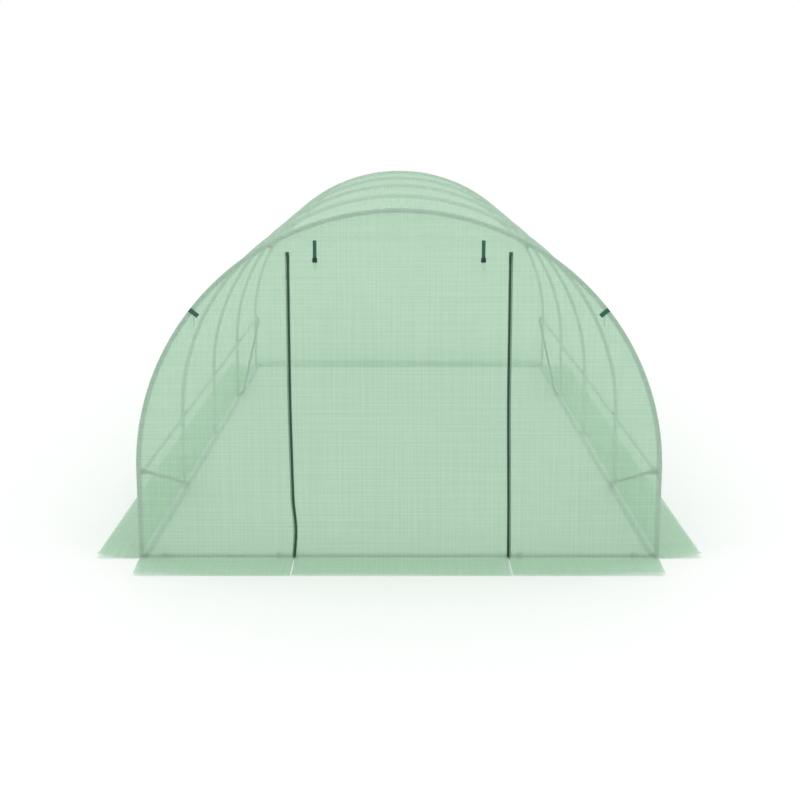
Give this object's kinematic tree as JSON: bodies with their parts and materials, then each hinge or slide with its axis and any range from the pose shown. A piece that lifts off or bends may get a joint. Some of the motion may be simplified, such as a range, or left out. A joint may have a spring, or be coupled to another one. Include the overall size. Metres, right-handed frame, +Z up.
{
  "type": "polytunnel greenhouse",
  "caption": "Walk-in tunnel greenhouse: round-topped steel hoops joined by rails and braces, under a translucent woven film cover with ground skirts and a zipped door flap.",
  "frame": {"origin": "middle of the footprint, skirts included, at ground level", "axes": "+X across the tunnel, to the right seen from the door; +Y along it, away from the door; +Z up"},
  "size_m": [3.5496, 6.6096, 2.035],
  "materials": {
    "galvanised_tube": "galvanised, satin",
    "green_film": "woven film with a scrim, semi-matt, lets light through",
    "zip_tape": "woven tape with a plastic chain",
    "zip_slider": "satin",
    "green_webbing": "woven webbing",
    "black_plastic": "moulded, semi-gloss",
    "clear_plastic": "milky"
  },
  "bodies": {
    "root": {"cover_crown": "green_film", "cover_left_haunch": "green_film", "cover_left_wall": "green_film", "cover_right_haunch": "green_film", "cover_right_wall": "green_film", "crown_tubes": "galvanised_tube", "door_flap": "green_film", "door_skirt": "green_film", "door_straps": "green_webbing", "front_braces": "galvanised_tube", "front_gable": "green_film", "front_left_panel": "green_film", "front_right_panel": "green_film", "front_sill": "galvanised_tube", "front_sill_ties": "green_film", "front_skirts": "green_film", "ground_rail_ties": "green_film", "guy_tabs": "green_webbing", "hoop_ties": "green_film", "left_ground_rails": "galvanised_tube", "left_legs": "galvanised_tube", "left_roof_rails": "galvanised_tube", "left_side_rails": "galvanised_tube", "left_side_tubes": "galvanised_tube", "left_skirt": "green_film", "left_zip": "zip_tape", "rail_washers": "galvanised_tube", "rear_braces": "galvanised_tube", "rear_sill": "galvanised_tube", "rear_sill_ties": "green_film", "rear_skirt": "green_film", "rear_wall": "green_film", "right_ground_rails": "galvanised_tube", "right_legs": "galvanised_tube", "right_roof_rails": "galvanised_tube", "right_side_rails": "galvanised_tube", "right_side_tubes": "galvanised_tube", "right_skirt": "green_film", "right_zip": "zip_tape", "strap_buckles": "black_plastic", "strap_tails": "clear_plastic", "zip_sliders": "zip_slider"}
  },
  "joints": []
}
